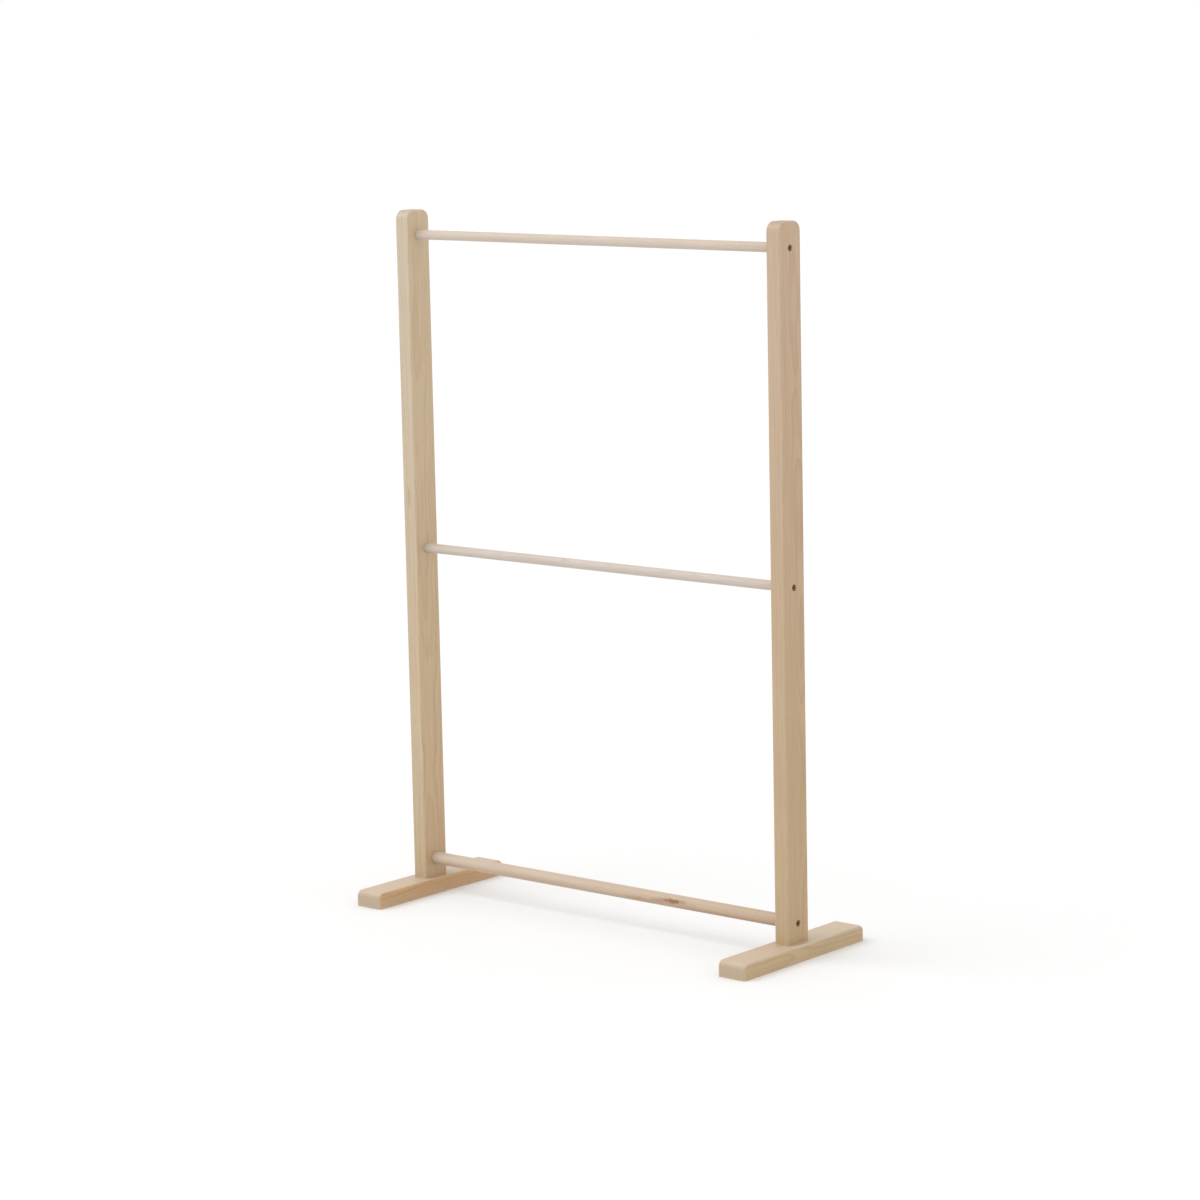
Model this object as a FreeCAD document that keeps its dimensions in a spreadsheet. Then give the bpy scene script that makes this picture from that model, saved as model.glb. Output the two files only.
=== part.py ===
import FreeCAD, Part
import math
import os
import Sketcher
from FreeCAD import Placement, Rotation, Vector

# A free-standing wooden dowel rack. Two flat posts stand on the middles of two flat feet, and three
# round rails run between the posts. Each rail end sits in a blind socket in the post's inner face and is
# held by a countersunk wood screw from the outer face. Two longer screws come up through each foot into
# the end of its post.
#
# Frame: X runs along the rails, Y along the feet, Z is up. The origin is on the floor, under the middle
# of the rack. The front is -Y, and left is -X.

# Every size that can be set by itself, in millimetres.
SIZES = [
    ("post_spacing", 585.0, "from the middle of one post to the middle of the other"),
    ("post_thickness", 20.0, "post, along the rails"),
    ("post_depth", 40.0, "post, along the feet"),
    ("post_length", 855.0, "post, from the top of the foot to its own top"),
    ("post_top_radius", 12.0, "front and back corners of a post's top"),
    ("post_edge_radius", 2.0, "long edges of a post"),
    ("foot_length", 234.0, "foot, front to back"),
    ("foot_width", 40.0, "foot, along the rails"),
    ("foot_thickness", 20.0, "foot, floor to top"),
    ("foot_end_radius", 8.0, "top corners at a foot's two ends"),
    ("foot_edge_radius", 3.0, "a foot's long top edges and its upright end edges"),
    ("rail_diameter", 12.0, "top and middle rails"),
    ("bottom_rail_diameter", 16.0, "the thicker bottom rail"),
    ("rail_end_chamfer", 0.8, "both ends of each rail"),
    ("top_rail_drop", 31.0, "from a post's top down to the top rail's middle"),
    ("middle_rail_rise", 427.5, "from a foot's top up to the middle rail's middle"),
    ("bottom_rail_rise", 24.0, "from a foot's top up to the bottom rail's middle"),
    ("socket_depth", 8.0, "blind hole in a post for a rail's end"),
    ("socket_clearance", 0.1, "gap round a rail in its socket, filled by glue"),
    ("rail_screw_length", 40.0, "rail screw, head to tip"),
    ("rail_screw_thread_radius", 2.0, "rail screw, plain shank and thread crests"),
    ("rail_screw_core_radius", 1.4, "rail screw, between the threads"),
    ("rail_screw_head_radius", 3.8, "rail screw's head"),
    ("rail_screw_plain_length", 12.0, "rail screw, head to the first thread"),
    ("rail_screw_sink", 1.5, "rail screw's head below the post's face"),
    ("foot_screw_length", 60.0, "foot screw, head to tip"),
    ("foot_screw_thread_radius", 2.5, "foot screw, plain shank and thread crests"),
    ("foot_screw_core_radius", 1.8, "foot screw, between the threads"),
    ("foot_screw_head_radius", 4.75, "foot screw's head"),
    ("foot_screw_plain_length", 20.0, "foot screw, head to the first thread"),
    ("foot_screw_sink", 1.0, "foot screw's head above the foot's underside"),
    ("foot_screw_spacing", 24.0, "between the two screws of one foot, front to back"),
    ("head_rim", 0.4, "straight rim above a screw head's cone"),
    ("head_clearance", 0.2, "gap round a screw's head"),
    ("shank_clearance", 0.25, "gap round a screw where it passes through"),
    ("thread_pitch", 2.5, "from one thread crest to the next"),
    ("thread_width", 1.1, "a thread at its root"),
    ("thread_bite", 0.2, "a thread's root inside the core"),
    ("point_length", 5.0, "tapered point of a screw"),
    ("pilot_clearance", 1.0, "empty end of a pilot hole, past the screw's tip"),
    ("drive_arm", 2.2, "cross in a screw's head, middle to the end of an arm"),
    ("drive_slot", 1.1, "width of an arm of the cross"),
    ("drive_depth", 1.8, "depth of the cross"),
]

TINY = 1e-3  # lengths below this count as nothing, in millimetres
SIDES = [("left", -1), ("right", 1)]
DEPTHS = [("front", -1), ("back", 1)]

# The rails, each with the size that gives its diameter and its middle's height above the post's foot end.
RAILS = [
    ("top_rail", "Sizes.rail_diameter", "Sizes.post_length - Sizes.top_rail_drop"),
    ("middle_rail", "Sizes.rail_diameter", "Sizes.middle_rail_rise"),
    ("bottom_rail", "Sizes.bottom_rail_diameter", "Sizes.bottom_rail_rise"),
]
RAIL_LENGTH = "(Sizes.post_spacing - Sizes.post_thickness + 2 * Sizes.socket_depth)"

doc = FreeCAD.newDocument("DowelRack")
sub_parts = []


# ---------------------------------------------------------------- the sheet and shared helpers

def make_sheet():
    """Write the driving dimensions into the sheet, one alias to a row."""
    sheet = doc.addObject("Spreadsheet::Sheet", "Sizes")
    for row, (alias, value, meaning) in enumerate(SIZES, 1):
        sheet.set(f"A{row}", meaning)
        sheet.set(f"B{row}", str(value))
        sheet.setAlias(f"B{row}", alias)
    doc.recompute()


def new_body(label):
    """Start one sub-part."""
    body = doc.addObject("PartDesign::Body", label)
    body.Label = label
    sub_parts.append(body)
    return body


def place(body, x="0", y="0", z="0", turn=None):
    """Put a sub-part where three expressions say, after an optional turn."""
    if turn:
        body.Placement = Placement(Vector(), turn)
    for axis, expression in zip("xyz", (x, y, z)):
        body.setExpression(f"Placement.Base.{axis}", expression)


def origin_feature(body, role):
    """One of the body's own origin planes or axes."""
    return next(item for item in body.Origin.OriginFeatures if item.Role == role)


def new_sketch(body, name, plane, shift_x=None, shift_y=None):
    """A sketch on an origin plane of its own body, moved within that plane if asked."""
    sketch = body.newObject("Sketcher::SketchObject", name)
    sketch.AttachmentSupport = [(origin_feature(body, plane), "")]
    sketch.MapMode = "FlatFace"
    if shift_x:
        sketch.setExpression("AttachmentOffset.Base.x", shift_x)
    if shift_y:
        sketch.setExpression("AttachmentOffset.Base.y", shift_y)
    return sketch


def pin_to(sketch, corner, axis_line, kind, expression):
    """Fix one coordinate of a line's first point: on the axis for 0, at a bound distance otherwise."""
    if expression == "0":
        sketch.addConstraint(Sketcher.Constraint("PointOnObject", corner, 1, axis_line))
        return
    index = sketch.addConstraint(Sketcher.Constraint(kind, -1, 1, corner, 1, 1.0))
    sketch.setExpression(f"Constraints[{index}]", expression)


def draw_outline(sketch, corners):
    """A closed outline through corners given as pairs of expressions."""
    count = len(corners)
    ring = [Vector(math.cos(math.tau * i / count), math.sin(math.tau * i / count)) for i in range(count)]
    for i in range(count):
        sketch.addGeometry(Part.LineSegment(ring[i], ring[(i + 1) % count]), False)
    for i in range(count):
        sketch.addConstraint(Sketcher.Constraint("Coincident", i, 2, (i + 1) % count, 1))
    for i, (across, up) in enumerate(corners):
        pin_to(sketch, i, -2, "DistanceX", across)
        pin_to(sketch, i, -1, "DistanceY", up)


def draw_circle(sketch, radius):
    """A circle round the sketch's origin."""
    circle = sketch.addGeometry(Part.Circle(Vector(), Vector(0, 0, 1), 1.0), False)
    sketch.addConstraint(Sketcher.Constraint("Coincident", circle, 3, -1, 1))
    index = sketch.addConstraint(Sketcher.Constraint("Radius", circle, 1.0))
    sketch.setExpression(f"Constraints[{index}]", radius)


def pad(body, name, sketch, length, middle=False):
    """Extrude a sketch, up from its plane or evenly to both sides."""
    feature = body.newObject("PartDesign::Pad", name)
    feature.Profile = sketch
    feature.setExpression("Length", length)
    feature.SideType = "Symmetric" if middle else "One side"
    doc.recompute()
    return feature


def revolve(body, name, sketch, axis):
    """Add the solid that a sketch makes when it turns once round one of its own axes."""
    feature = body.newObject("PartDesign::Revolution", name)
    feature.Profile = sketch
    feature.ReferenceAxis = (sketch, [axis])
    feature.Angle = 360
    doc.recompute()
    return feature


def check_cut(before, feature):
    """A cut that points away from the solid removes nothing, so it is refused here."""
    if feature.Shape.Volume > before - TINY:
        raise RuntimeError(f"{feature.Name} removes nothing")


def bore(body, name, sketch, axis):
    """Cut the round hole that a sketch makes when it turns once round one of its own axes."""
    before = body.Tip.Shape.Volume
    feature = body.newObject("PartDesign::Groove", name)
    feature.Profile = sketch
    feature.ReferenceAxis = (sketch, [axis])
    feature.Angle = 360
    doc.recompute()
    check_cut(before, feature)


def pocket(body, name, sketch, depth, backwards):
    """Cut a sketch's outline into the body."""
    before = body.Tip.Shape.Volume
    feature = body.newObject("PartDesign::Pocket", name)
    feature.Profile = sketch
    feature.setExpression("Length", depth)
    feature.Reversed = backwards
    doc.recompute()
    check_cut(before, feature)


def edge_names(feature, wanted):
    """The names of a feature's edges that pass a test."""
    return [f"Edge{i}" for i, edge in enumerate(feature.Shape.Edges, 1) if wanted(edge)]


def soften(body, kind, name, base, wanted, size_property, size):
    """Fillet or chamfer the edges of the last feature that pass a test."""
    feature = body.newObject(f"PartDesign::{kind}", name)
    feature.Base = (base, edge_names(base, wanted))
    feature.setExpression(size_property, size)
    doc.recompute()
    return feature


def is_upright(edge):
    """True for an edge that runs straight up."""
    box = edge.BoundBox
    return box.XLength < TINY and box.YLength < TINY


def is_top_end_edge(edge, height):
    """True for a level edge that runs along X at this height."""
    box = edge.BoundBox
    return box.YLength < TINY and box.ZLength < TINY and abs(box.ZMax - height) < TINY


# ---------------------------------------------------------------- screw holes

def clearance_hole(kind, thickness):
    """Half section of a countersunk hole for a screw, as pairs of (depth below the face, radius)."""
    head = f"Sizes.{kind}_head_radius"
    sink = f"Sizes.{kind}_sink"
    head_hole = f"{head} + Sizes.head_clearance"
    shank_hole = f"Sizes.{kind}_thread_radius + Sizes.shank_clearance"
    cone_start = f"{sink} + Sizes.head_rim - Sizes.head_clearance"
    cone_end = f"{sink} + Sizes.head_rim + {head} - ({shank_hole})"
    return [("0", "0"), ("0", head_hole), (cone_start, head_hole), (cone_end, shank_hole),
            (thickness, shank_hole), (thickness, "0")]


def pilot_hole(kind, passed):
    """Half section of the hole that a screw's thread fills, as pairs of (depth, radius).

    The depth counts from the face where the thread goes in, which lies "passed" below the face that the
    screw's head is sunk in.
    """
    tip = f"Sizes.{kind}_sink + Sizes.{kind}_length - ({passed})"
    crest = f"Sizes.{kind}_thread_radius"
    return [("0", "0"), ("0", crest), (f"{tip} - Sizes.point_length", crest),
            (f"{tip} + Sizes.pilot_clearance", "0")]


# ---------------------------------------------------------------- wooden parts

def make_post(side_name, side):
    """A flat upright with a rounded top, three sockets inside and three screw holes outside.

    Its own origin is the middle of its foot end.
    """
    body = new_body(f"{side_name}_post")
    outline = new_sketch(body, f"{side_name}_post_outline", "XY_Plane")
    half_x = "Sizes.post_thickness / 2"
    half_y = "Sizes.post_depth / 2"
    draw_outline(outline, [(f"-{half_x}", f"-{half_y}"), (half_x, f"-{half_y}"), (half_x, half_y),
                           (f"-{half_x}", half_y)])
    blank = pad(body, f"{side_name}_post_blank", outline, "Sizes.post_length")
    top = blank.Shape.BoundBox.ZMax
    rounded = soften(body, "Fillet", f"{side_name}_post_top", blank,
                     lambda edge: is_top_end_edge(edge, top), "Radius", "Sizes.post_top_radius")
    soften(body, "Fillet", f"{side_name}_post_edges", rounded, is_upright, "Radius",
           "Sizes.post_edge_radius")

    for rail, diameter, height in RAILS:
        socket = new_sketch(body, f"{side_name}_{rail}_socket_section", "XZ_Plane", shift_y=height)
        inner_face = f"{-side} * {half_x}"
        socket_end = f"{-side} * ({half_x} - Sizes.socket_depth)"
        socket_radius = f"{diameter} / 2 + Sizes.socket_clearance"
        draw_outline(socket, [(inner_face, "0"), (inner_face, socket_radius),
                              (socket_end, socket_radius), (socket_end, "0")])
        bore(body, f"{side_name}_{rail}_socket", socket, "H_Axis")

        section = new_sketch(body, f"{side_name}_{rail}_screw_section", "XZ_Plane", shift_y=height)
        web = "Sizes.post_thickness - Sizes.socket_depth"
        hole = clearance_hole("rail_screw", web)
        draw_outline(section, [(f"{side} * ({half_x} - ({depth}))", radius) for depth, radius in hole])
        bore(body, f"{side_name}_{rail}_screw_hole", section, "H_Axis")

    for end, toward in DEPTHS:
        section = new_sketch(body, f"{side_name}_{end}_pilot_section", "YZ_Plane",
                             shift_x=f"{toward} * Sizes.foot_screw_spacing / 2")
        hole = pilot_hole("foot_screw", "Sizes.foot_thickness")
        draw_outline(section, [(radius, depth) for depth, radius in hole])
        bore(body, f"{side_name}_{end}_pilot", section, "V_Axis")
    place(body, x=f"{side} * Sizes.post_spacing / 2", z="Sizes.foot_thickness")


def make_foot(side_name, side):
    """A flat bar on the floor with rounded top corners and two screw holes from below.

    Its own origin is the middle of its underside.
    """
    body = new_body(f"{side_name}_foot")
    outline = new_sketch(body, f"{side_name}_foot_outline", "XY_Plane")
    half_x = "Sizes.foot_width / 2"
    half_y = "Sizes.foot_length / 2"
    draw_outline(outline, [(f"-{half_x}", f"-{half_y}"), (half_x, f"-{half_y}"), (half_x, half_y),
                           (f"-{half_x}", half_y)])
    blank = pad(body, f"{side_name}_foot_blank", outline, "Sizes.foot_thickness")
    top = blank.Shape.BoundBox.ZMax
    rounded = soften(body, "Fillet", f"{side_name}_foot_ends", blank,
                     lambda edge: is_top_end_edge(edge, top), "Radius", "Sizes.foot_end_radius")
    soften(body, "Fillet", f"{side_name}_foot_edges", rounded, is_upright, "Radius",
           "Sizes.foot_edge_radius")

    for end, toward in DEPTHS:
        section = new_sketch(body, f"{side_name}_foot_{end}_section", "YZ_Plane",
                             shift_x=f"{toward} * Sizes.foot_screw_spacing / 2")
        hole = clearance_hole("foot_screw", "Sizes.foot_thickness")
        draw_outline(section, [(radius, depth) for depth, radius in hole])
        bore(body, f"{side_name}_foot_{end}_screw_hole", section, "V_Axis")
    place(body, x=f"{side} * Sizes.post_spacing / 2")


def make_rail(rail, diameter, height):
    """A round bar along X with chamfered ends and a pilot hole in each end.

    Its own origin is its middle.
    """
    body = new_body(rail)
    outline = new_sketch(body, f"{rail}_outline", "YZ_Plane")
    draw_circle(outline, f"{diameter} / 2")
    bar = pad(body, f"{rail}_bar", outline, RAIL_LENGTH, middle=True)
    soften(body, "Chamfer", f"{rail}_ends", bar, lambda edge: edge.BoundBox.XLength < TINY, "Size",
           "Sizes.rail_end_chamfer")

    web = "Sizes.post_thickness - Sizes.socket_depth"
    for side_name, side in SIDES:
        section = new_sketch(body, f"{rail}_{side_name}_pilot_section", "XZ_Plane")
        hole = pilot_hole("rail_screw", web)
        draw_outline(section, [(f"{side} * ({RAIL_LENGTH} / 2 - ({depth}))", radius)
                               for depth, radius in hole])
        bore(body, f"{rail}_{side_name}_pilot", section, "H_Axis")
    place(body, z=f"Sizes.foot_thickness + {height}")


# ---------------------------------------------------------------- screws

def make_screw(label, kind):
    """A countersunk wood screw with a cross in its head.

    Its own origin is the middle of its head's top, and it points up along Z.
    """
    body = new_body(label)
    head = f"Sizes.{kind}_head_radius"
    crest = f"Sizes.{kind}_thread_radius"
    core = f"Sizes.{kind}_core_radius"
    tip = f"Sizes.{kind}_length"
    thread_start = f"Sizes.{kind}_plain_length + {crest} - {core}"
    thread_end = f"{tip} - Sizes.point_length"

    section = new_sketch(body, f"{label}_section", "XZ_Plane")
    draw_outline(section, [
        ("0", "0"),
        (head, "0"),
        (head, "Sizes.head_rim"),
        (crest, f"Sizes.head_rim + {head} - {crest}"),
        (crest, f"Sizes.{kind}_plain_length"),
        (core, thread_start),
        (core, thread_end),
        ("0", tip),
    ])
    revolve(body, f"{label}_blank", section, "V_Axis")

    ridge = new_sketch(body, f"{label}_thread_section", "XZ_Plane")
    root = f"{core} - Sizes.thread_bite"
    draw_outline(ridge, [
        (root, thread_start),
        (crest, f"{thread_start} + Sizes.thread_width / 2"),
        (root, f"{thread_start} + Sizes.thread_width"),
    ])
    crest_ring = revolve(body, f"{label}_thread", ridge, "V_Axis")

    pattern = body.newObject("PartDesign::LinearPattern", f"{label}_threads")
    pattern.Originals = [crest_ring]
    pattern.Direction = (origin_feature(body, "Z_Axis"), [""])
    pattern.Mode = "Spacing"
    turns = f"floor(({thread_end} - ({thread_start}) - Sizes.thread_width) / Sizes.thread_pitch)"
    pattern.setExpression("Offset", "Sizes.thread_pitch")
    pattern.setExpression("Occurrences", f"{turns} + 1")
    body.Tip = pattern
    doc.recompute()

    cross = new_sketch(body, f"{label}_cross", "XY_Plane")
    reach = "Sizes.drive_arm"
    half = "Sizes.drive_slot / 2"
    quarter = [(half, reach), (half, half), (reach, half)]
    signs = [(1, 1), (1, -1), (-1, -1), (-1, 1)]
    corners = []
    for across, up in signs:
        stretch = quarter if across == up else quarter[::-1]
        corners += [(f"{across} * {x}", f"{up} * {y}") for x, y in stretch]
    draw_outline(cross, corners)
    pocket(body, f"{label}_drive", cross, "Sizes.drive_depth", backwards=True)
    return body


def make_rail_screws():
    """One screw through each post into each rail end, its head in the post's outer face."""
    outer = "(Sizes.post_spacing / 2 + Sizes.post_thickness / 2 - Sizes.rail_screw_sink)"
    for side_name, side in SIDES:
        inward = Rotation(Vector(0, 1, 0), -90 * side)
        for rail, _, height in RAILS:
            body = make_screw(f"{side_name}_{rail}_screw", "rail_screw")
            place(body, x=f"{side} * {outer}", z=f"Sizes.foot_thickness + {height}", turn=inward)


def make_foot_screws():
    """Two screws up through each foot into the end of its post."""
    for side_name, side in SIDES:
        for end, toward in DEPTHS:
            body = make_screw(f"{side_name}_foot_{end}_screw", "foot_screw")
            place(body, x=f"{side} * Sizes.post_spacing / 2",
                  y=f"{toward} * Sizes.foot_screw_spacing / 2", z="Sizes.foot_screw_sink")


# ---------------------------------------------------------------- the whole rack

def check_model():
    """Stop before anything is written if a feature failed or a sub-part isn't one sound solid."""
    for item in doc.Objects:
        if "Invalid" in item.State or "Error" in item.State:
            raise RuntimeError(f"{item.Name} failed: {item.State}")
    for body in sub_parts:
        if body.Shape.isNull() or not body.Shape.isValid() or len(body.Shape.Solids) != 1:
            raise RuntimeError(f"{body.Label} isn't one sound solid")


def main():
    """Build every sub-part, check the lot and write one file for each."""
    make_sheet()
    for side_name, side in SIDES:
        make_post(side_name, side)
        make_foot(side_name, side)
    for rail, diameter, height in RAILS:
        make_rail(rail, diameter, height)
    make_rail_screws()
    make_foot_screws()
    doc.recompute()
    check_model()
    os.makedirs("parts", exist_ok=True)
    for body in sub_parts:
        body.Shape.exportStep(f"parts/{body.Label}.step")
        box = body.Shape.BoundBox
        print(f"{body.Label}: {body.Shape.Volume:.1f} mm3, {box.XLength:.1f} x {box.YLength:.1f} x"
              f" {box.ZLength:.1f} mm")


main()
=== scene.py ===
import math

import bmesh
import bpy
from mathutils import Matrix, Vector


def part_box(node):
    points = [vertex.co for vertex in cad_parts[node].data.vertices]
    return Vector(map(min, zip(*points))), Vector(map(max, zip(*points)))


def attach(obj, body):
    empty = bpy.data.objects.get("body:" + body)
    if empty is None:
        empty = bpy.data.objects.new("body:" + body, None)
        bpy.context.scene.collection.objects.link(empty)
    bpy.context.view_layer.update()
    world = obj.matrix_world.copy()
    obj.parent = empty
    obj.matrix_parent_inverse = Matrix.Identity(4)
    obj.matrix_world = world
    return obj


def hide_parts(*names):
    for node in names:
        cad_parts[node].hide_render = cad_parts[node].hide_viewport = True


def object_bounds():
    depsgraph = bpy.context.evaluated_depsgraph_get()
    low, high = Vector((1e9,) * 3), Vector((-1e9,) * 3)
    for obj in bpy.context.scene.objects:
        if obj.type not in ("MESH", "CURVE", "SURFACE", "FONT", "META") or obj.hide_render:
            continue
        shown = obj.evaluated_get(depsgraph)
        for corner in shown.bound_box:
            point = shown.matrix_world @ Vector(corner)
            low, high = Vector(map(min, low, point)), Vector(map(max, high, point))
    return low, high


# A free-standing rack of bare softwood. Posts, feet and rails are rebuilt here as smooth meshes in the
# places and sizes of the CAD solids, and the CAD screws stay. X runs along the rails, Y along the feet,
# Z is up, and the front is -Y. Lengths are in metres unless a name ends in _MM.

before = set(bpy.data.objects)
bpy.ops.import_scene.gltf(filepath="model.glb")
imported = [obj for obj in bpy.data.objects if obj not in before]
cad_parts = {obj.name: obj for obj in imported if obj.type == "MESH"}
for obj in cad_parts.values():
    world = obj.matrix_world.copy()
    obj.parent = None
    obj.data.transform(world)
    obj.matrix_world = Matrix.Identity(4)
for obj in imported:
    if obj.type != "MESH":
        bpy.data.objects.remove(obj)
cad_low, cad_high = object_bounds()
centre = (cad_low + cad_high) / 2

MM = 0.001
SIDES = (("left", -1), ("right", 1))
RAILS = ("top_rail", "middle_rail", "bottom_rail")
X_AXIS = Vector((1, 0, 0))
Z_AXIS = Vector((0, 0, 1))

# ---------------------------------------------------------------- sizes that a box doesn't give

POST_TOP_RADIUS = 12 * MM
POST_EDGE_RADIUS = 2 * MM
FOOT_END_RADIUS = 8 * MM
FOOT_EDGE_RADIUS = 3 * MM
RAIL_END_CHAMFER = 0.8 * MM
SOCKET_DEPTH = 8 * MM
SOCKET_CLEARANCE = 0.1 * MM
HOLE_LIP = 0.25 * MM
SHANK_CLEARANCE = 0.25 * MM
HEAD_CLEARANCE = 0.2 * MM
HEAD_RIM = 0.4 * MM
RAIL_SCREW_SHANK = 2.0 * MM
FOOT_SCREW_SHANK = 2.5 * MM
POINT_LENGTH = 5 * MM
PILOT_CLEARANCE = 1 * MM
# How far a cutter reaches past the face that it cuts.
OVERSHOOT = 1 * MM

ARC_STEPS = 14
EDGE_STEPS = 5
HOLE_STEPS = 72
RAIL_STEPS = 96
ROUND_PROFILE = 0.5
SHARP_DEGREES = 32
NORMAL_WEIGHT = 80


# ---------------------------------------------------------------- mesh helpers

def new_object(name, mesh):
    """Put a mesh into the scene as an object."""
    piece = bpy.data.objects.new(name, mesh)
    bpy.context.scene.collection.objects.link(piece)
    return piece


def from_bmesh(name, work):
    """Close a bmesh into an object."""
    bmesh.ops.recalc_face_normals(work, faces=work.faces)
    mesh = bpy.data.meshes.new(name)
    work.to_mesh(mesh)
    work.free()
    return new_object(name, mesh)


def arc_points(middle, radius, start_degrees, end_degrees):
    """Points along an arc in a plane, both ends included."""
    points = []
    for step in range(ARC_STEPS + 1):
        angle = math.radians(start_degrees + (end_degrees - start_degrees) * step / ARC_STEPS)
        points.append((middle[0] + radius * math.cos(angle), middle[1] + radius * math.sin(angle)))
    return points


def bar_outline(y_low, y_high, z_low, z_high, radius):
    """A rectangle in the YZ plane with its two upper corners rounded."""
    outline = [(y_low, z_low), (y_high, z_low)]
    outline += arc_points((y_high - radius, z_high - radius), radius, 0, 90)
    outline += arc_points((y_low + radius, z_high - radius), radius, 90, 180)
    return outline


def rounded_bar(name, low, high, end_radius, edge_radius):
    """A flat bar: rounded upper corners seen from the side, and softened edges round both side faces.

    The edges round its underside stay crisp.
    """
    work = bmesh.new()
    outline = bar_outline(low.y, high.y, low.z, high.z, end_radius)
    near = [work.verts.new((low.x, y, z)) for y, z in outline]
    far = [work.verts.new((high.x, y, z)) for y, z in outline]
    work.faces.new(near)
    work.faces.new(far)
    count = len(outline)
    for i in range(count):
        j = (i + 1) % count
        work.faces.new((near[i], near[j], far[j], far[i]))
    bmesh.ops.recalc_face_normals(work, faces=work.faces)

    def is_softened(edge):
        a, b = (vertex.co for vertex in edge.verts)
        same_side = abs(a.x - b.x) < edge_radius / 2
        underside = max(a.z, b.z) < low.z + edge_radius / 2
        return same_side and not underside

    edges = [edge for edge in work.edges if is_softened(edge)]
    bmesh.ops.bevel(work, geom=edges, offset=edge_radius, segments=EDGE_STEPS, profile=ROUND_PROFILE,
                    affect="EDGES", clamp_overlap=True)
    return from_bmesh(name, work)


def lathe(name, profile, origin, axis, steps):
    """Turn a closed half section, given as (distance along the axis, radius), once round the axis.

    Points of no radius become one vertex.
    """
    work = bmesh.new()
    turn = axis.to_track_quat("Z", "X").to_matrix()
    rings = []
    for along, radius in profile:
        count = steps if radius > 0 else 1
        ring = []
        for step in range(count):
            angle = math.tau * step / steps
            local = Vector((radius * math.cos(angle), radius * math.sin(angle), along))
            ring.append(work.verts.new(origin + turn @ local))
        rings.append(ring)
    for first, second in zip(rings, rings[1:]):
        for step in range(steps):
            after = (step + 1) % steps
            corners = [first[step % len(first)], first[after % len(first)],
                       second[after % len(second)], second[step % len(second)]]
            distinct = list(dict.fromkeys(corners))
            if len(distinct) > 2:
                work.faces.new(distinct)
    return from_bmesh(name, work)


def join(pieces):
    """Merge several objects' meshes into the first."""
    work = bmesh.new()
    for piece in pieces:
        work.from_mesh(piece.data)
    work.to_mesh(pieces[0].data)
    work.free()
    for piece in pieces[1:]:
        bpy.data.objects.remove(piece)
    return pieces[0]


def bake_modifiers(piece):
    """Replace a piece's mesh by what its modifiers make of it."""
    graph = bpy.context.evaluated_depsgraph_get()
    mesh = bpy.data.meshes.new_from_object(piece.evaluated_get(graph))
    piece.modifiers.clear()
    old = piece.data
    piece.data = mesh
    mesh.name = piece.name
    bpy.data.meshes.remove(old)


def cut(piece, cutter):
    """Cut one closed mesh out of another."""
    modifier = piece.modifiers.new("holes", "BOOLEAN")
    modifier.operation = "DIFFERENCE"
    modifier.solver = "EXACT"
    modifier.object = cutter
    bake_modifiers(piece)
    bpy.data.objects.remove(cutter)


def finish_surface(piece):
    """Smooth curved stretches, and keep flat faces flat and real corners sharp."""
    piece.data.shade_smooth()
    piece.data.set_sharp_from_angle(angle=math.radians(SHARP_DEGREES))
    modifier = piece.modifiers.new("normals", "WEIGHTED_NORMAL")
    modifier.keep_sharp = True
    modifier.weight = NORMAL_WEIGHT
    bake_modifiers(piece)


def stand_for(piece, node):
    """A piece takes the place of a CAD node and moves with the rack's one body."""
    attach(piece, "root")
    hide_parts(node)


# ---------------------------------------------------------------- materials

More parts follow.
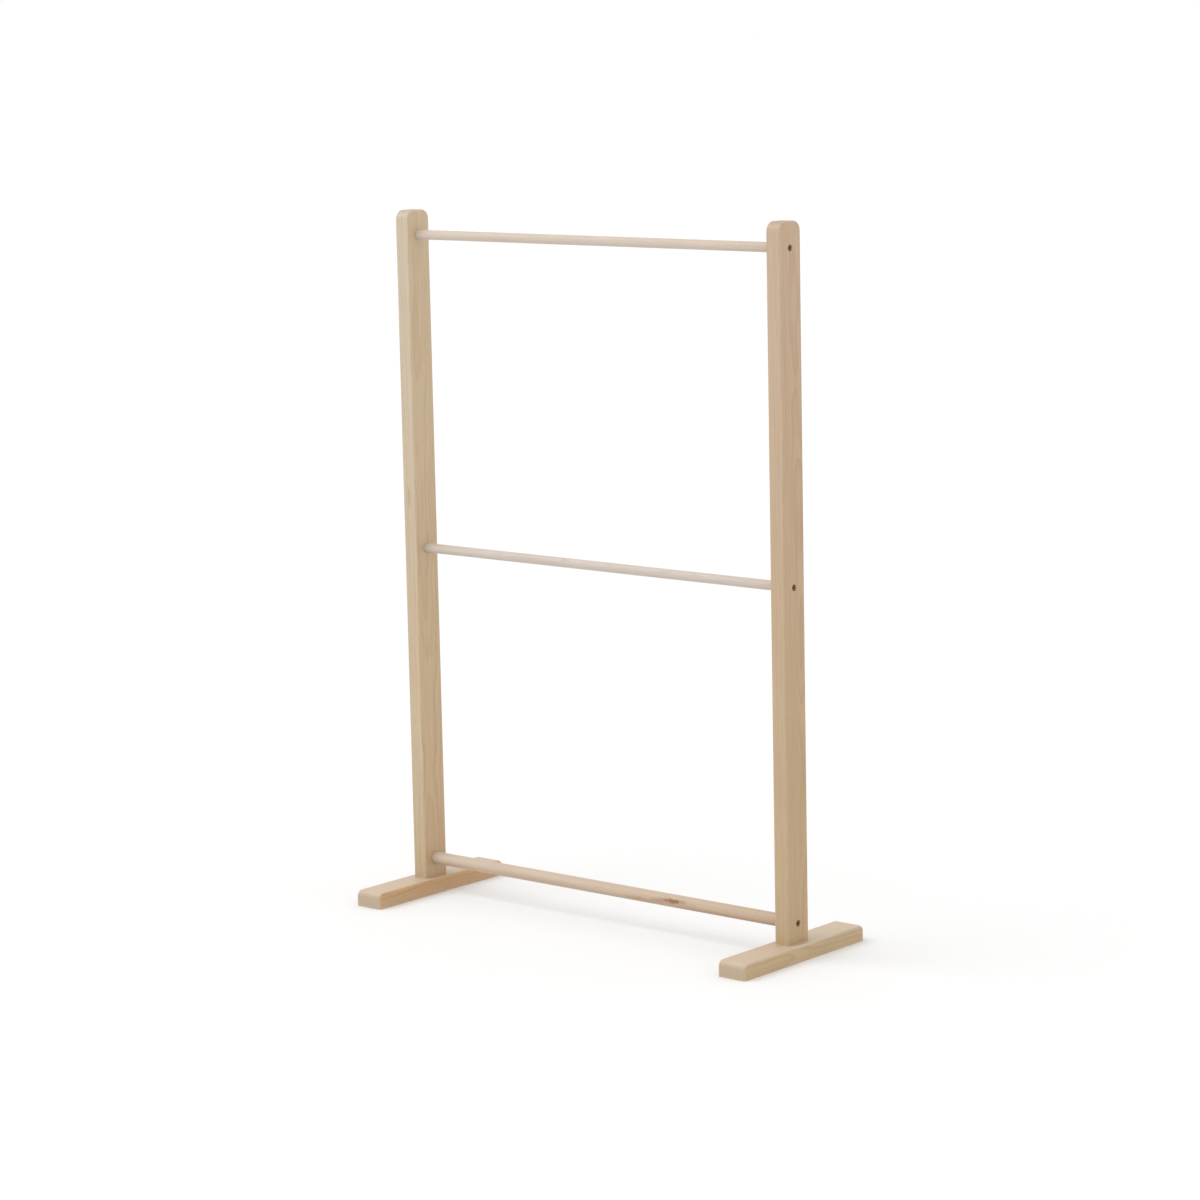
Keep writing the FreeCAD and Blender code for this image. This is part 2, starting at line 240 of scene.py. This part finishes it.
class Graph:
    """A material's node tree, with short calls for the nodes used here."""

    def __init__(self, name):
        self.material = bpy.data.materials.new(name)
        self.material.use_nodes = True
        self.tree = self.material.node_tree
        self.tree.nodes.clear()
        self.shader = self.node("ShaderNodeBsdfPrincipled")
        output = self.node("ShaderNodeOutputMaterial")
        self.link(self.shader.outputs["BSDF"], output.inputs["Surface"])

    def node(self, kind, **settings):
        node = self.tree.nodes.new(kind)
        for key, value in settings.items():
            setattr(node, key, value)
        return node

    def link(self, source, target):
        """Link an output, or set a plain value."""
        if isinstance(source, bpy.types.NodeSocket):
            self.tree.links.new(source, target)
        else:
            target.default_value = source

    def math(self, operation, *values, clamp=False):
        node = self.node("ShaderNodeMath", operation=operation, use_clamp=clamp)
        for socket, value in zip(node.inputs, values):
            self.link(value, socket)
        return node.outputs[0]

    def combine(self, x, y, z):
        node = self.node("ShaderNodeCombineXYZ")
        for socket, value in zip(node.inputs, (x, y, z)):
            self.link(value, socket)
        return node.outputs[0]

    def split(self, vector):
        node = self.node("ShaderNodeSeparateXYZ")
        self.link(vector, node.inputs[0])
        return node.outputs

    def noise(self, vector, detail=2.0, roughness=0.5):
        node = self.node("ShaderNodeTexNoise", noise_dimensions="3D")
        self.link(vector, node.inputs["Vector"])
        node.inputs["Scale"].default_value = 1.0
        node.inputs["Detail"].default_value = detail
        node.inputs["Roughness"].default_value = roughness
        return node

    def random_of(self, value):
        node = self.node("ShaderNodeTexWhiteNoise", noise_dimensions="1D")
        self.link(value, node.inputs["W"])
        return node.outputs["Value"]

    def remap(self, value, low, high, to_low=0.0, to_high=1.0, smooth=True):
        node = self.node("ShaderNodeMapRange", interpolation_type="SMOOTHSTEP" if smooth else "LINEAR")
        for socket, number in zip(node.inputs, (value, low, high, to_low, to_high)):
            self.link(number, socket)
        return node.outputs[0]

    def ramp(self, value, stops):
        """A ramp of grey levels, given as (place, level)."""
        node = self.node("ShaderNodeValToRGB")
        elements = node.color_ramp.elements
        while len(elements) < len(stops):
            elements.new(0.5)
        for element, (place, level) in zip(elements, stops):
            element.position = place
            element.color = (level, level, level, 1)
        self.link(value, node.inputs[0])
        return node.outputs[0]

    def mix(self, factor, first, second, blend="MIX"):
        node = self.node("ShaderNodeMix", data_type="RGBA", blend_type=blend)
        self.link(factor, node.inputs[0])
        for socket, colour in ((node.inputs[6], first), (node.inputs[7], second)):
            self.link(colour if isinstance(colour, bpy.types.NodeSocket) else (*colour, 1), socket)
        return node.outputs[2]


def tinted(colour, factors):
    """A colour multiplied by one number or by three."""
    if isinstance(factors, (int, float)):
        factors = (factors,) * 3
    return tuple(c * f for c, f in zip(colour, factors))


def scaled(g, pair, cells, offset):
    """Noise coordinates in a plane, in cells per millimetre."""
    return g.combine(g.math("MULTIPLY_ADD", pair[0], cells, offset),
                     g.math("MULTIPLY_ADD", pair[1], cells, -offset), 0.0)


# Patterns in the wood, as (cells per millimetre across the grain, along the grain, offset in the noise).
GRAIN = {
    "wander": (0.012, 0.0042, 0.0),
    "ripple": (0.22, 0.012, 3.0),
    "fine": (2.6, 0.045, 7.0),
    "broad": (0.55, 0.010, 11.0),
    "canals": (4.2, 0.16, 17.0),
    "tone": (0.020, 0.0065, 23.0),
    "rubbed": (0.30, 0.06, 29.0),
    "outline": (0.45, 0.16, 37.0),
}
WANDER_WIDTH = 22.0         # how far the pith may wander, in millimetres
RIPPLE_DEPTH = 0.55         # how far a ring may ripple, in rings
RAGGEDNESS = 1.1            # how ragged the outline of a knot or stain is, in its own sizes
SWIRL_TIGHTNESS = -0.16     # how fast the rings' bend round a knot dies away
SWIRL_RINGS = 2.4           # how many rings a knot pushes aside
LATEWOOD_STOPS = ((0.0, 0.0), (0.45, 0.10), (0.80, 0.72), (0.92, 1.0), (1.0, 0.0))
FAINTEST_RING = 0.45
LATEWOOD_STRENGTH = 0.62
SLOW_TONE = (0.94, 0.88, 0.80)
SLOW_TONE_STRENGTH = 0.55
FINE_SHADE = 0.085
BROAD_SHADE = 0.06
CANAL_STRENGTH = 0.40
END_GRAIN_STRENGTH = 0.80
END_GRAIN_RINGS = 0.55
PORE_CELLS = 1.9            # pores of the end grain, in cells per millimetre
STAIN_LENGTH = 3.2          # a stain round a knot, in lengths and widths of the knot
STAIN_WIDTH = 2.2
KNOT_RING_RATE = 11.0
EDGE_FAR, EDGE_NEAR = 3.2, 0.6      # a rubbed edge fades out and in over these distances, in millimetres
RUBBED_TINT = (1.12, 1.12, 1.14)
RUBBED_STRENGTH = 0.8
WOOD_IOR = 1.5
WOOD_ROUGHNESS = 0.40
WOOD_BUMP_STRENGTH = 0.35
WOOD_BUMP_DEPTH = 0.08 * MM


def wood(name, low, high, along, pith, spacing, early, late, seed, lean=(0.0, 0.0), contrast=1.0,
         shade_and_tone_tint=(1.0, 0.92, 0.82), drift=(1.0, 1.0, 1.0), knots=(), stains=(), worn_edges=True):
    """Bare sanded softwood with growth rings that run through the whole piece.

    low and high are the piece's box, and along is its grain direction. pith is where the tree's middle
    lies beside the piece's middle, across the grain, and spacing is the width of a growth ring, both in
    millimetres. lean is how far the pith drifts aside for each millimetre along. shade_and_tone_tint is the
    tone of a face that looks towards the pith, and drift is the tone of the piece's far end, both as
    factors on its colour. On the posts and feet the tint of the faces towards the pith is painted shade on
    the faces turned away from the light, and on the posts drift is painted light, paler and brighter at the
    top.
    Knots and stains are ((along, across 1, across 2), length, width, strength), in millimetres, with the
    place given from the piece's middle.
    """
    g = Graph(name)
    middle = (low + high) / 2
    half = (high - low) / (2 * MM)
    position = g.node("ShaderNodeTexCoord").outputs["Object"]
    shift = g.node("ShaderNodeVectorMath", operation="SUBTRACT")
    g.link(position, shift.inputs[0])
    shift.inputs[1].default_value = middle
    scale = g.node("ShaderNodeVectorMath", operation="SCALE")
    g.link(shift.outputs[0], scale.inputs[0])
    scale.inputs["Scale"].default_value = 1 / MM
    order = {"X": (0, 1, 2), "Y": (1, 0, 2), "Z": (2, 0, 1)}[along]
    a, u, v = (g.split(scale.outputs[0])[i] for i in order)
    half_a, half_u, half_v = (half[i] for i in order)

    def stretched(pattern):
        """Noise coordinates of one of the patterns, drawn out along the grain."""
        across, lengthwise, offset = GRAIN[pattern]
        return g.combine(g.math("MULTIPLY_ADD", u, across, seed + offset),
                         g.math("MULTIPLY_ADD", v, across, seed * 0.7 - offset),
                         g.math("MULTIPLY_ADD", a, lengthwise, seed * 1.3))

    # Growth rings round a wandering pith.
    wander = g.split(g.noise(stretched("wander"), detail=2.0).outputs["Color"])
    u_ring = g.math("ADD", g.math("MULTIPLY_ADD", a, lean[0], pith[0] - WANDER_WIDTH / 2),
                    g.math("MULTIPLY_ADD", wander[0], WANDER_WIDTH, u))
    v_ring = g.math("ADD", g.math("MULTIPLY_ADD", a, lean[1], pith[1] - WANDER_WIDTH / 2),
                    g.math("MULTIPLY_ADD", wander[1], WANDER_WIDTH, v))
    distance = g.math("SQRT", g.math("ADD", g.math("MULTIPLY", u_ring, u_ring),
                                     g.math("MULTIPLY", v_ring, v_ring)))
    ripple = g.noise(stretched("ripple"), detail=3.0).outputs["Fac"]
    ring = g.math("MULTIPLY_ADD", ripple, RIPPLE_DEPTH, g.math("DIVIDE", distance, spacing))

    def reach(place, length, width):
        """Distance from a place, which is about 1 at the ragged outline of a spindle of that size."""
        offsets = [g.math("DIVIDE", g.math("SUBTRACT", value, at), size / 2)
                   for value, at, size in zip((a, u, v), place, (length, width, width))]
        far = g.node("ShaderNodeVectorMath", operation="LENGTH")
        g.link(g.combine(*offsets), far.inputs[0])
        ragged = g.noise(stretched("outline"), detail=3.0).outputs["Fac"]
        inset = g.math("SUBTRACT", far.outputs["Value"], RAGGEDNESS / 2)
        return g.math("MULTIPLY_ADD", ragged, RAGGEDNESS, inset)

    # A knot bends the rings round itself.
    knot_reaches = []
    for place, length, width, _ in knots:
        far = reach(place, length, width)
        swirl = g.math("POWER", math.e, g.math("MULTIPLY", g.math("MULTIPLY", far, far), SWIRL_TIGHTNESS))
        ring = g.math("MULTIPLY_ADD", swirl, SWIRL_RINGS, ring)
        knot_reaches.append(far)

    whole = g.math("FLOOR", ring)
    part = g.math("FRACT", ring)
    latewood = g.ramp(part, LATEWOOD_STOPS)
    boldness = g.remap(g.random_of(whole), 0.0, 1.0, FAINTEST_RING, 1.0, smooth=False)
    latewood = g.math("MULTIPLY", latewood, boldness)

    # Fibres, resin canals and slow changes of tone.
    fine = g.noise(stretched("fine"), detail=4.0, roughness=0.62).outputs["Fac"]
    broad = g.noise(stretched("broad"), detail=3.0, roughness=0.55).outputs["Fac"]
    canals = g.remap(g.noise(stretched("canals"), detail=1.0).outputs["Fac"], 0.66, 0.74)
    tone = g.noise(stretched("tone"), detail=2.0).outputs["Fac"]

    colour = g.mix(g.math("MULTIPLY", latewood, LATEWOOD_STRENGTH * contrast), early, late)
    colour = g.mix(g.remap(tone, 0.3, 0.7, 0.0, SLOW_TONE_STRENGTH), colour, tinted(early, SLOW_TONE))
    shade = g.math("ADD", g.remap(fine, 0.25, 0.75, -FINE_SHADE, FINE_SHADE, smooth=False),
                   g.remap(broad, 0.3, 0.7, -BROAD_SHADE, BROAD_SHADE, smooth=False))
    shade = g.math("MULTIPLY_ADD", shade, contrast, 1.0)
    grey = g.combine(shade, shade, shade)
    colour = g.mix(1.0, colour, grey, blend="MULTIPLY")
    colour = g.mix(g.math("MULTIPLY", canals, CANAL_STRENGTH), colour, tinted(late, 0.55))

    # Painted shade: a face that looks towards the pith is warmer than one that crosses the rings or looks
    # outward, and on the posts and feet the pith lies on the +X side, turned away from the light.
    normal = [g.split(g.node("ShaderNodeNewGeometry").outputs["True Normal"])[i] for i in order]
    outward = g.math("ADD", g.math("MULTIPLY", normal[1], g.math("DIVIDE", u_ring, distance)),
                     g.math("MULTIPLY", normal[2], g.math("DIVIDE", v_ring, distance)))
    shade_and_tone_mask = g.remap(outward, -0.2, -0.95)
    colour = g.mix(shade_and_tone_mask, colour, g.mix(1.0, colour, shade_and_tone_tint, blend="MULTIPLY"))

    # End grain is duller, with its rings and pores more open.
    end_grain = g.remap(g.math("ABSOLUTE", normal[0]), 0.55, 0.95)
    pores = g.noise(scaled(g, (u, v), PORE_CELLS, seed), detail=3.0).outputs["Fac"]
    dull = g.mix(g.remap(pores, 0.35, 0.65, 0.10, 0.42), tinted(early, 0.90), tinted(late, 0.80))
    dull = g.mix(g.math("MULTIPLY", latewood, END_GRAIN_RINGS), dull, tinted(late, 0.70))
    colour = g.mix(g.math("MULTIPLY", end_grain, END_GRAIN_STRENGTH), colour, dull)

    # The whole piece changes tone from one end to the other, its end grain too. On the posts this is
    # painted light: paler and brighter towards the top.
    lengthwise = g.remap(a, -half_a, half_a, smooth=False)
    colour = g.mix(lengthwise, colour, g.mix(1.0, colour, drift, blend="MULTIPLY"))

    # Resin stains the grain in streaks, round each knot and elsewhere.
    around_knots = [(place, length * STAIN_LENGTH, width * STAIN_WIDTH, strength)
                    for place, length, width, strength in knots]
    for place, length, width, strength in (*around_knots, *stains):
        streaks = g.math("MULTIPLY", g.remap(reach(place, length, width), 1.0, 0.2),
                         g.remap(broad, 0.42, 0.56, 0.25, 1.0))
        colour = g.mix(g.math("MULTIPLY", streaks, strength), colour, RESIN_STAIN)

    # A knot has a dark rim and rings of its own.
    for far, (_, _, _, strength) in zip(knot_reaches, knots):
        rings = g.math("SINE", g.math("MULTIPLY", far, KNOT_RING_RATE))
        inside = g.mix(g.remap(rings, -1.0, 1.0), KNOT_HEART, tinted(KNOT_HEART, 1.5))
        inside = g.mix(g.remap(far, 0.70, 0.95), inside, tinted(KNOT_HEART, 0.6))
        colour = g.mix(g.math("MULTIPLY", g.remap(far, 1.15, 0.85), strength), colour, inside)

    wear = 0.0
    if worn_edges:
        # Sanded edges: the second smallest distance to a face of the box is small only near an edge.
        to_a, to_u, to_v = (g.math("SUBTRACT", limit, g.math("ABSOLUTE", value))
                            for limit, value in ((half_a, a), (half_u, u), (half_v, v)))
        second = g.math("MAXIMUM", g.math("MINIMUM", to_a, to_u),
                        g.math("MINIMUM", g.math("MAXIMUM", to_a, to_u), to_v))
        rubbed = g.noise(stretched("rubbed"), detail=3.0).outputs["Fac"]
        near_edge = g.remap(second, EDGE_FAR, EDGE_NEAR)
        patchy = g.remap(rubbed, 0.35, 0.62, 0.25, 1.0)
        wear = g.math("MULTIPLY", near_edge, patchy)
        pale = g.mix(1.0, colour, RUBBED_TINT, blend="MULTIPLY")
        colour = g.mix(g.math("MULTIPLY", wear, RUBBED_STRENGTH), colour, pale)

    g.link(colour, g.shader.inputs["Base Color"])
    gloss = g.math("MULTIPLY_ADD", fine, 0.16, g.math("MULTIPLY_ADD", latewood, -0.07, WOOD_ROUGHNESS))
    gloss = g.math("MULTIPLY_ADD", wear, -0.06, gloss)
    g.link(gloss, g.shader.inputs["Roughness"])
    g.shader.inputs["IOR"].default_value = WOOD_IOR
    height = g.math("ADD", g.math("MULTIPLY", fine, 0.8), g.math("MULTIPLY", latewood, 0.5))
    height = g.math("MULTIPLY_ADD", canals, -0.5, height)
    bump = g.node("ShaderNodeBump")
    bump.inputs["Strength"].default_value = WOOD_BUMP_STRENGTH
    bump.inputs["Distance"].default_value = WOOD_BUMP_DEPTH
    g.link(height, bump.inputs["Height"])
    g.link(bump.outputs[0], g.shader.inputs["Normal"])
    return g.material


STEEL_DULL = (0.22, 0.145, 0.070)
STEEL_RUBBED = (0.37, 0.260, 0.140)
STEEL_METALLIC = 0.9
STEEL_ROUGHNESS_DULL, STEEL_ROUGHNESS_RUBBED = 0.62, 0.40
STEEL_BUMP_STRENGTH = 0.2
STEEL_BUMP_DEPTH = 0.05 * MM


def plated_steel():
    """Dark bronze plating, rubbed brighter in some places and duller in others."""
    g = Graph("bronze_plated_steel")
    position = g.node("ShaderNodeTexCoord").outputs["Object"]
    scale = g.node("ShaderNodeVectorMath", operation="SCALE")
    g.link(position, scale.inputs[0])
    scale.inputs["Scale"].default_value = 1 / MM
    cloud = g.noise(scale.outputs[0], detail=4.0, roughness=0.6).outputs["Fac"]
    rubbed = g.remap(cloud, 0.50, 0.68)
    colour = g.mix(rubbed, STEEL_DULL, STEEL_RUBBED)
    g.link(colour, g.shader.inputs["Base Color"])
    g.shader.inputs["Metallic"].default_value = STEEL_METALLIC
    roughness = g.remap(cloud, 0.3, 0.7, STEEL_ROUGHNESS_DULL, STEEL_ROUGHNESS_RUBBED)
    g.link(roughness, g.shader.inputs["Roughness"])
    bump = g.node("ShaderNodeBump")
    bump.inputs["Strength"].default_value = STEEL_BUMP_STRENGTH
    bump.inputs["Distance"].default_value = STEEL_BUMP_DEPTH
    g.link(cloud, bump.inputs["Height"])
    g.link(bump.outputs[0], g.shader.inputs["Normal"])
    return g.material


# Linear colours of the bare wood: between the rings and in the dark latewood.
POST_EARLY = (0.55, 0.43, 0.300)
POST_LATE = (0.40, 0.27, 0.155)
FOOT_EARLY = (0.56, 0.44, 0.315)
FOOT_LATE = (0.40, 0.26, 0.145)
RAIL_EARLY = (0.60, 0.515, 0.430)
RAIL_LATE = (0.47, 0.36, 0.255)
RESIN_STAIN = (0.32, 0.172, 0.072)
KNOT_HEART = (0.20, 0.108, 0.046)


# ---------------------------------------------------------------- wooden pieces

def screw_hole_profile(head_radius, shank_radius, sink, through):
    """Half section of a countersunk hole, from just outside the face inward, as (depth, radius)."""
    hole = head_radius + HEAD_CLEARANCE
    shank = shank_radius + SHANK_CLEARANCE
    return [(-OVERSHOOT, 0), (-OVERSHOOT, hole + HOLE_LIP), (0, hole + HOLE_LIP), (HOLE_LIP, hole),
            (sink + HEAD_RIM - HEAD_CLEARANCE, hole), (sink + HEAD_RIM + head_radius - shank, shank),
            (through, shank), (through, 0)]


def make_post(side_name, side):
    """One upright with its three stepped holes for rails and screws."""
    node = f"{side_name}_post"
    low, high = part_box(node)
    post = rounded_bar(f"{node}_timber", low, high, POST_TOP_RADIUS, POST_EDGE_RADIUS)
    outer = high.x if side > 0 else low.x
    thickness = high.x - low.x
    inward = Vector((-side, 0, 0))
    cutters = []
    for rail in RAILS:
        rail_low, rail_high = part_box(rail)
        screw_low, screw_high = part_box(f"{side_name}_{rail}_screw")
        middle = (screw_low + screw_high) / 2
        face = Vector((outer, middle.y, middle.z))
        head_radius = (screw_high.y - screw_low.y) / 2
        sink = abs(outer - (screw_high.x if side > 0 else screw_low.x))
        web = thickness - SOCKET_DEPTH
        socket = (rail_high.y - rail_low.y) / 2 + SOCKET_CLEARANCE
        profile = screw_hole_profile(head_radius, RAIL_SCREW_SHANK, sink, web)[:-1]
        profile += [(web, socket), (thickness + OVERSHOOT, socket), (thickness + OVERSHOOT, 0)]
        cutters.append(lathe("cutter", profile, face, inward, HOLE_STEPS))
    for end in ("front", "back"):
        screw_low, screw_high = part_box(f"{side_name}_foot_{end}_screw")
        middle = (screw_low + screw_high) / 2
        tip = screw_high.z - low.z
        profile = [(-OVERSHOOT, 0), (-OVERSHOOT, FOOT_SCREW_SHANK), (tip - POINT_LENGTH, FOOT_SCREW_SHANK),
                   (tip + PILOT_CLEARANCE, 0)]
        cutters.append(lathe("cutter", profile, Vector((middle.x, middle.y, low.z)), Z_AXIS,
                             HOLE_STEPS))
    cut(post, join(cutters))
    finish_surface(post)
    stand_for(post, node)
    return post


def make_foot(side_name, side):
    """One foot with its two countersunk holes in the underside."""
    node = f"{side_name}_foot"
    low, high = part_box(node)
    foot = rounded_bar(f"{node}_timber", low, high, FOOT_END_RADIUS, FOOT_EDGE_RADIUS)
    cutters = []
    for end in ("front", "back"):
        screw_low, screw_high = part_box(f"{side_name}_foot_{end}_screw")
        middle = (screw_low + screw_high) / 2
        head_radius = (screw_high.x - screw_low.x) / 2
        profile = screw_hole_profile(head_radius, FOOT_SCREW_SHANK, screw_low.z - low.z,
                                     high.z - low.z + OVERSHOOT)
        cutters.append(lathe("cutter", profile, Vector((middle.x, middle.y, low.z)), Z_AXIS,
                             HOLE_STEPS))
    cut(foot, join(cutters))
    finish_surface(foot)
    stand_for(foot, node)
    return foot


def make_rail(node):
    """One dowel with chamfered ends and a pilot hole in each end, as one turned shape."""
    low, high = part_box(node)
    middle = (low + high) / 2
    half = (high.x - low.x) / 2
    radius = (high.z - low.z) / 2
    pilot_end = half - (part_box(f"right_{node}_screw")[0].x - middle.x)
    end = [(half - pilot_end - PILOT_CLEARANCE, 0), (half - pilot_end + POINT_LENGTH, RAIL_SCREW_SHANK),
           (half, RAIL_SCREW_SHANK), (half, radius - RAIL_END_CHAMFER), (half - RAIL_END_CHAMFER, radius)]
    profile = [(-along, r) for along, r in end] + end[::-1]
    rail = lathe(f"{node}_dowel", profile, middle, X_AXIS, RAIL_STEPS)
    finish_surface(rail)
    stand_for(rail, node)
    return rail


def dress(piece, node, along, early, late, tone, **look):
    """Give a piece a wood of its own, toned beside the rest of its kind."""
    low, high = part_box(node)
    piece.data.materials.clear()
    piece.data.materials.append(wood(f"{node}_wood", low, high, along, early=tinted(early, tone),
                                     late=tinted(late, tone), **look))


# On the posts the tint of the faces towards the pith is painted shade on their +X faces, and drift is
# painted light that makes each post paler and brighter towards the top.
POST_LOOKS = {
    "left": dict(pith=(-46.0, 9.0), spacing=3.1, seed=3.7, lean=(0.010, 0.012),
                 tone=(0.93, 0.92, 0.855), drift=(1.12, 1.23, 1.45),
                 stains=(((66.5, -0.5, -20.0), 34.0, 8.0, 0.45),)),
    "right": dict(pith=(-38.0, -12.0), spacing=2.7, seed=11.3, lean=(-0.008, 0.014),
                  tone=(0.87, 0.82, 0.725), shade_and_tone_tint=(1.01, 0.953, 0.880), drift=(1.075, 1.11, 1.29)),
}
# On the feet the tint of the faces towards the pith is painted shade on their +X faces, turned away from
# the light.
FOOT_LOOKS = {
    "left": dict(pith=(-36.0, -14.0), spacing=2.6, seed=19.1, lean=(0.004, 0.006),
                 tone=(1.0, 1.02, 1.05), shade_and_tone_tint=(0.92, 0.70, 0.46)),
    "right": dict(pith=(-44.0, 10.0), spacing=3.4, seed=23.9, lean=(-0.015, 0.02),
                  tone=(0.99, 1.01, 1.03), shade_and_tone_tint=(0.92, 0.84, 0.66)),
}
RAIL_LOOKS = {
    "top_rail": dict(pith=(9.0, -21.0), spacing=1.7, seed=31.7, lean=(0.006, 0.012),
                     tone=(0.99, 1.0, 1.04), shade_and_tone_tint=(1.0, 0.97, 0.93), drift=(0.95, 0.94, 0.93)),
    "middle_rail": dict(pith=(-18.0, 12.0), spacing=1.5, seed=37.3, lean=(0.010, -0.006),
                        tone=(0.93, 0.955, 1.02), shade_and_tone_tint=(1.0, 0.97, 0.93)),
    "bottom_rail": dict(pith=(15.0, 19.0), spacing=1.8, seed=41.9, lean=(-0.008, 0.010),
                        tone=(0.94, 0.91, 0.88), shade_and_tone_tint=(0.93, 0.87, 0.81), drift=(0.885, 0.795, 0.715),
                        knots=(((116.5, -8.0, 1.6), 22.0, 4.4, 0.9),),
                        stains=(((94.0, -7.9, -0.6), 40.0, 6.0, 0.9), ((68.0, -7.4, -2.6), 70.0, 7.0, 0.6),
                                ((190.0, -6.0, -4.8), 190.0, 8.0, 0.55))),
}


def make_rack():
    """Build every wooden piece and plate the screws."""
    for side_name, side in SIDES:
        dress(make_post(side_name, side), f"{side_name}_post", "Z", early=POST_EARLY, late=POST_LATE,
              **POST_LOOKS[side_name])
        dress(make_foot(side_name, side), f"{side_name}_foot", "Y", early=FOOT_EARLY, late=FOOT_LATE,
              **FOOT_LOOKS[side_name])
    for node in RAILS:
        dress(make_rail(node), node, "X", early=RAIL_EARLY, late=RAIL_LATE, contrast=0.8,
              worn_edges=False, **RAIL_LOOKS[node])
    steel = plated_steel()
    for node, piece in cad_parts.items():
        if node.endswith("_screw"):
            for slot in piece.material_slots:
                slot.material = steel


# ---------------------------------------------------------------- floor, light and camera

FLOOR_HALF = 60.0
FLOOR_TONE = (0.83, 0.83, 0.828)
FLOOR_MOTTLE = 0.985
FLOOR_ROUGHNESS = 0.9
FLOOR_IOR = 1.3
KEY_PLACE = Vector((-0.36, -0.48, 0.80))
KEY_STRENGTH = 0.95
KEY_WIDTH_DEGREES = 50.0


def make_floor():
    """A plain white floor with a faint mottle, level with the undersides of the feet."""
    work = bmesh.new()
    corners = ((-1, -1), (1, -1), (1, 1), (-1, 1))
    work.faces.new([work.verts.new((x * FLOOR_HALF, y * FLOOR_HALF, cad_low.z)) for x, y in corners])
    floor = from_bmesh("studio_floor", work)
    g = Graph("studio_floor")
    position = g.node("ShaderNodeTexCoord").outputs["Object"]
    cloud = g.noise(position, detail=3.0).outputs["Fac"]
    g.link(g.mix(cloud, FLOOR_TONE, tinted(FLOOR_TONE, FLOOR_MOTTLE)), g.shader.inputs["Base Color"])
    g.shader.inputs["Roughness"].default_value = FLOOR_ROUGHNESS
    g.shader.inputs["IOR"].default_value = FLOOR_IOR
    floor.data.materials.append(g.material)


def make_studio():
    """White surroundings, and one very wide soft light from high on the front left."""
    world = bpy.data.worlds.new("studio")
    world.use_nodes = True
    background = world.node_tree.nodes["Background"]
    background.inputs["Color"].default_value = (1, 1, 1, 1)
    background.inputs["Strength"].default_value = 1.0
    bpy.context.scene.world = world
    data = bpy.data.lights.new("key", "SUN")
    data.energy = KEY_STRENGTH
    data.angle = math.radians(KEY_WIDTH_DEGREES)
    key = bpy.data.objects.new("key", data)
    bpy.context.scene.collection.objects.link(key)
    key.location = centre + KEY_PLACE
    key.rotation_mode = "QUATERNION"
    key.rotation_quaternion = (-KEY_PLACE).to_track_quat("-Z", "Y")
    bpy.context.scene.view_settings.view_transform = "Standard"
    bpy.context.scene.view_settings.look = "None"


CAMERA_AZIMUTH = 40.42
CAMERA_ELEVATION = 9.34
CAMERA_ROLL = 1.19
CAMERA_DISTANCE = 4.536
CAMERA_LENS_MM = 111.4
SENSOR_MM = 36.0
AIM = Vector((0.0056, -0.0020, -0.0311))


def make_camera():
    """A long lens from the front right, looking slightly down and very slightly tilted."""
    azimuth, elevation = math.radians(CAMERA_AZIMUTH), math.radians(CAMERA_ELEVATION)
    back = Vector((math.sin(azimuth) * math.cos(elevation), -math.cos(azimuth) * math.cos(elevation),
                   math.sin(elevation)))
    data = bpy.data.cameras.new("camera")
    data.lens = CAMERA_LENS_MM
    data.sensor_width = SENSOR_MM
    camera = bpy.data.objects.new("camera", data)
    bpy.context.scene.collection.objects.link(camera)
    upright = back.to_track_quat("Z", "Y").to_matrix()
    roll = Matrix.Rotation(math.radians(-CAMERA_ROLL), 3, "Z")
    place = Matrix.Translation(centre + AIM + back * CAMERA_DISTANCE)
    camera.matrix_world = place @ (upright @ roll).to_4x4()
    bpy.context.scene.camera = camera


make_camera()
make_rack()
make_floor()
make_studio()
